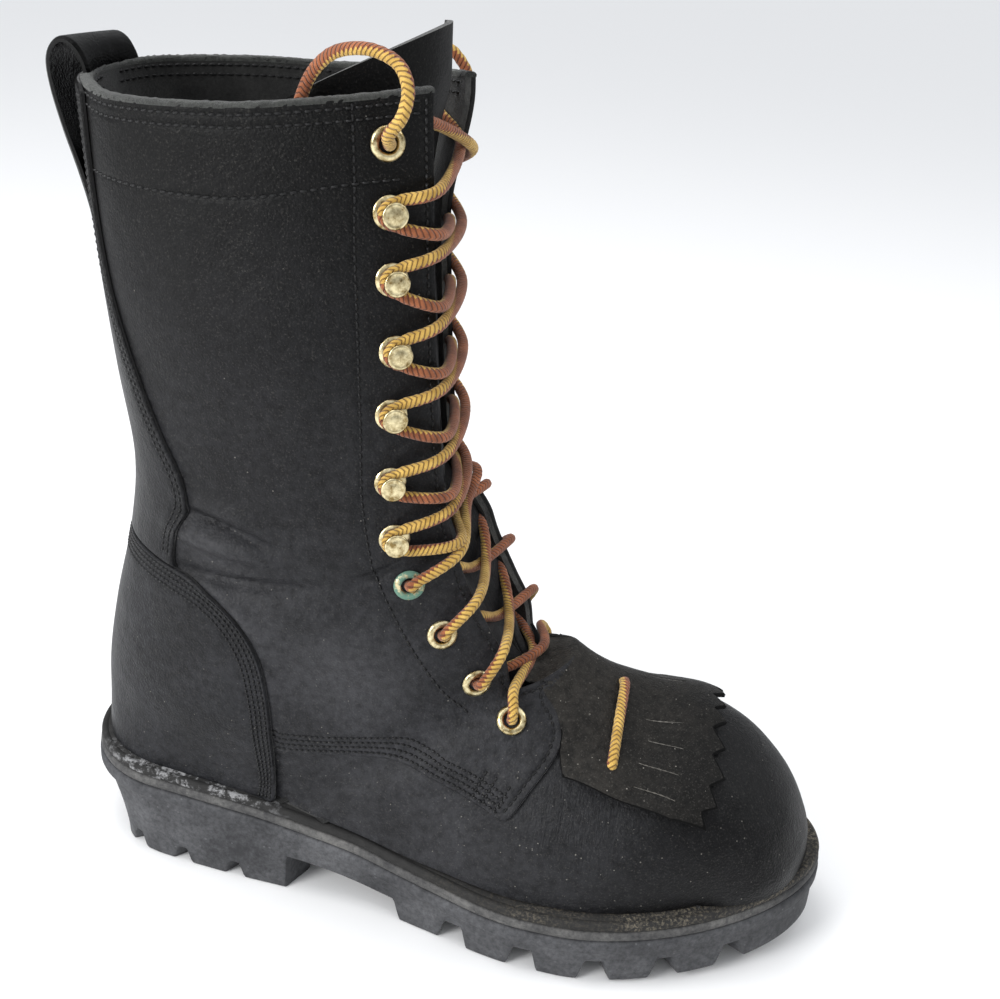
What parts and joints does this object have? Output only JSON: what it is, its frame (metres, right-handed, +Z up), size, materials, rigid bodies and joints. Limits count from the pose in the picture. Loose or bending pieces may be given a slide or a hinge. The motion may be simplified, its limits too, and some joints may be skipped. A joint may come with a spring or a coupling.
{
  "type": "work boot",
  "caption": "Right-foot tall lace-up work boot in black leather with a lugged rubber sole, brass hooks and eyelets, a fringed toe flap and a heel pull loop.",
  "frame": {"origin": "middle of the boot's box on the floor under the sole, without the free lace ends", "axes": "+X to the toe, +Y to the medial side, +Z up"},
  "size_m": [0.306, 0.1179, 0.333],
  "materials": {
    "leather": "dull oiled black",
    "rubber": "dusty matte",
    "welt_leather": "worn matte",
    "insole_board": "matte",
    "brass": "worn polish",
    "lace_cord": "braided"
  },
  "bodies": {
    "root": {"backstay": "leather", "counter": "leather", "eyelet_lateral_01": "brass", "eyelet_lateral_02": "brass", "eyelet_lateral_03": "brass", "eyelet_lateral_04": "brass", "eyelet_lateral_11": "brass", "eyelet_medial_01": "brass", "eyelet_medial_02": "brass", "eyelet_medial_03": "brass", "eyelet_medial_04": "brass", "eyelet_medial_11": "brass", "hook_lateral_05": "brass", "hook_lateral_06": "brass", "hook_lateral_07": "brass", "hook_lateral_08": "brass", "hook_lateral_09": "brass", "hook_lateral_10": "brass", "hook_medial_05": "brass", "hook_medial_06": "brass", "hook_medial_07": "brass", "hook_medial_08": "brass", "hook_medial_09": "brass", "hook_medial_10": "brass", "insole": "insole_board", "kiltie": "leather", "kiltie_lace": "lace_cord", "lace_crossing_01": "lace_cord", "lace_crossing_02": "lace_cord", "lace_crossing_03": "lace_cord", "lace_crossing_04": "lace_cord", "lace_crossing_05": "lace_cord", "lace_crossing_06": "lace_cord", "lace_crossing_07": "lace_cord", "lace_crossing_08": "lace_cord", "lace_crossing_09": "lace_cord", "lace_crossing_10": "lace_cord", "lace_end_lateral": "lace_cord", "lace_end_medial": "lace_cord", "midsole": "rubber", "outsole": "rubber", "pull_loop": "leather", "quarter_lateral": "leather", "quarter_medial": "leather", "tongue": "leather", "upper": "leather", "welt": "welt_leather"}
  },
  "joints": []
}
